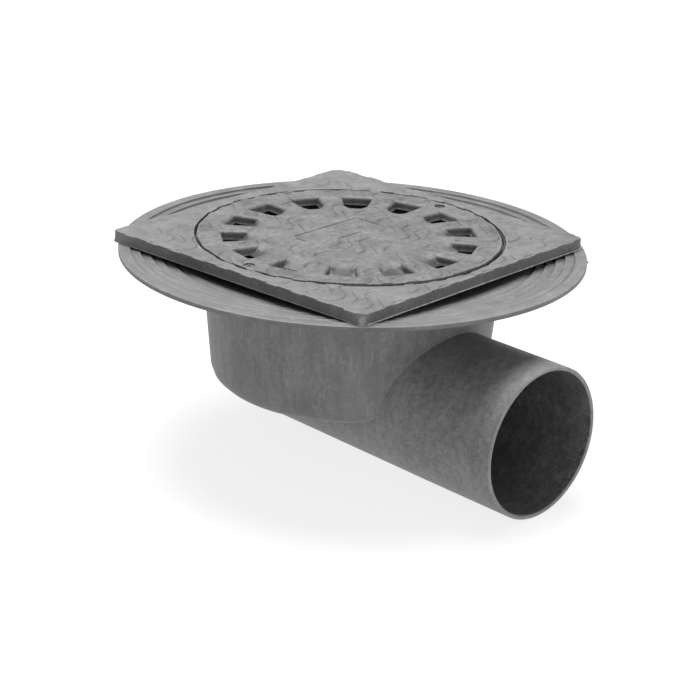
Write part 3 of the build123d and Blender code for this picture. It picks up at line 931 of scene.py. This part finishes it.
def buildBody():
    d = dish
    verts, faces = solidAsArrays("trap_body")
    corners = verts[np.array([f[:3] for f in faces])]
    normal = np.cross(corners[:, 1] - corners[:, 0], corners[:, 2] - corners[:, 0])
    normal /= np.maximum(np.linalg.norm(normal, axis=1, keepdims=True), 1e-9)
    middle = corners.mean(1)
    radius = np.hypot(middle[:, 0], middle[:, 1])
    nearest = np.hypot(corners[:, :, 0], corners[:, :, 1]).min(1)

    # the CAD's upper faces of the flange make way for the turned ones
    inward, under = d["cutMargin"]
    upward = (normal[:, 2] > d["level"]) | ((normal[:, 2] > -d["level"]) & (radius > d["coneTop"] - d["margin"]))
    dropped = upward & (nearest > d["mouth"] - inward) & (middle[:, 2] > d["mouthHeight"] - under)
    kept = [f for f, gone in zip(faces, dropped) if not gone]
    verts, faces, rim = joined((verts, kept, 0.0), buildDish(), buildNub())

    # the finish is chosen face by face; the bore's darker plastic is painted shade
    x, y, z = np.array([verts[f].mean(0) for f in faces]).T
    onDish = (np.hypot(x, y) > d["dishFrom"]) & (z > d["coneFoot"])
    atMouth = x > d["mouthFrom"]
    fromPipeAxis = np.hypot(y, z - d["pipeAxis"])
    onPipe = ((fromPipeAxis < d["pipeRadius"]) & (x > d["pipeFrom"])) | (z < d["pipeUnder"])
    inBore = onPipe & (x > d["boreFrom"]) & (fromPipeAxis < d["boreRadius"])
    finishes = [plastics[name] for name in ("bucket", "dish", "pipe", "paintedShadeBore", "mouth")]
    newPiece("trapBody", verts, faces, rim, finishes, "trap_body",
             materialOf=np.select([onDish, atMouth, inBore, onPipe], [1, 4, 3, 2], 0))


buildBody()


def buildBell():
    verts, faces = solidAsArrays("siphon_bell")
    newPiece("siphonBell", verts, faces, np.zeros(len(verts)), [plastics["bucket"]], "siphon_bell")


buildBell()


# the studio's sizes and places are metres
studio = {
    "floorGrey": 0.2, "floorGlow": 0.8, "floorRoughness": 0.9, "floorReach": 12.0, "floorLevel": -0.0003,
    "worldGrey": 0.46, "lampAim": (0, 0, 0.1),
    "lamps": {"softBox": {"power": 375.0, "size": 3.2, "place": (-1.1, 0.6, 4.2)},
              "sideFill": {"power": 16.0, "size": 1.6, "place": (2.6, -0.3, 0.7)}},
}


def buildStudio():
    mesh = bpy.data.meshes.new("floor")
    reach, level = studio["floorReach"], studio["floorLevel"]
    corners = [(-reach, -reach, level), (reach, -reach, level), (reach, reach, level), (-reach, reach, level)]
    mesh.from_pydata(corners, [], [(0, 1, 2, 3)])
    floor = bpy.data.objects.new("floor", mesh)
    bpy.context.scene.collection.objects.link(floor)
    paper = bpy.data.materials.new("floorPaper")
    paper.use_nodes = True
    sockets = paper.node_tree.nodes["Principled BSDF"].inputs
    sockets["Base Color"].default_value = grey(studio["floorGrey"])
    sockets["Roughness"].default_value = studio["floorRoughness"]
    sockets["Specular IOR Level"].default_value = 0.0
    sockets["Emission Color"].default_value = grey(1.0)
    sockets["Emission Strength"].default_value = studio["floorGlow"]
    mesh.materials.append(paper)
    world = bpy.data.worlds.new("paleRoom")
    world.use_nodes = True
    world.node_tree.nodes["Background"].inputs["Color"].default_value = grey(studio["worldGrey"])
    bpy.context.scene.world = world
    for name, given in studio["lamps"].items():
        light = bpy.data.lights.new(name, "AREA")
        light.shape = "DISK"
        light.size = given["size"]
        light.energy = given["power"]
        lamp = bpy.data.objects.new(name, light)
        lamp.location = given["place"]
        lamp.rotation_euler = (Vector(studio["lampAim"]) - lamp.location).to_track_quat("-Z", "Y").to_euler()
        bpy.context.scene.collection.objects.link(lamp)
    bpy.context.scene.view_settings.view_transform = "Standard"


buildStudio()


view = {
    "place": (949.4, -945.0, 584.6),
    "right": (0.69612871, 0.71713197, 0.03356416),
    "down": (0.28085194, -0.22900431, -0.93202962),
    "forward": (-0.6607019, 0.65823914, -0.36082438),
    "lens": 99.29, "sensor": 36.0, "nearest": 0.05, "farthest": 50.0,
}


def buildCamera():
    camera = bpy.data.cameras.new("photoCamera")
    camera.lens = view["lens"]
    camera.sensor_width = view["sensor"]
    camera.clip_start, camera.clip_end = view["nearest"], view["farthest"]
    cameraObject = bpy.data.objects.new("photoCamera", camera)
    axes = Matrix([view["right"], [-c for c in view["down"]], [-c for c in view["forward"]]]).transposed().to_4x4()
    cameraObject.matrix_world = Matrix.Translation((Vector(view["place"]) + Vector(bucketAxis)) * mm) @ axes
    bpy.context.scene.collection.objects.link(cameraObject)
    bpy.context.scene.camera = cameraObject


buildCamera()
print("studio and camera ready")
